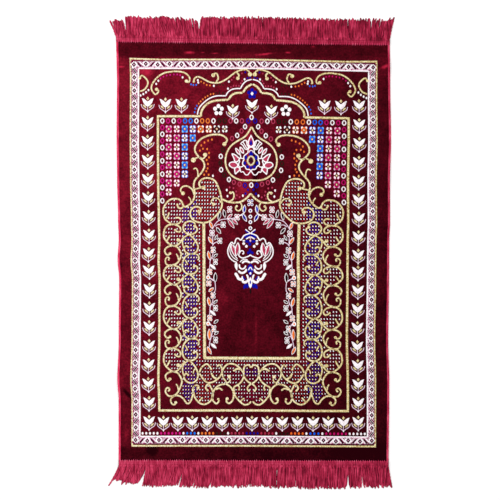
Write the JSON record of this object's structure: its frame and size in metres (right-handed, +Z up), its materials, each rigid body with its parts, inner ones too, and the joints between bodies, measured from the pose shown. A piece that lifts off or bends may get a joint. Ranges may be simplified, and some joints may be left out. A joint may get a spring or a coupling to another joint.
{
  "type": "prayer rug",
  "caption": "Flat velvet prayer rug with a niche pattern, an overlocked binding down each long side and a fringe across each end.",
  "frame": {"origin": "middle of the cloth's underside, on the floor", "axes": "+X across the rug, +Y along it to the end with the niche's point, +Z up out of the pile"},
  "size_m": [0.7412, 1.2377, 0.0073],
  "materials": {
    "velvet_pile": "crushed wine-red velvet pile on a woven ground",
    "overlock_yarn": "bright crimson overlocking yarn",
    "fringe_yarn": "loosely twisted crimson yarn with a soft shine",
    "gold_yarn": "cream-gold pattern yarn with a flat metallic strip",
    "white_yarn": "white pattern yarn, slightly lilac from the pile around it",
    "dyed_yarn": "dyed pattern yarns in magenta, blue, orange, green, rose, navy and rust"
  },
  "bodies": {
    "root": {"velvet_cloth": "velvet_pile", "binding_left": "overlock_yarn", "binding_right": "overlock_yarn", "fringe_top": "fringe_yarn", "fringe_bottom": "fringe_yarn"}
  },
  "joints": []
}
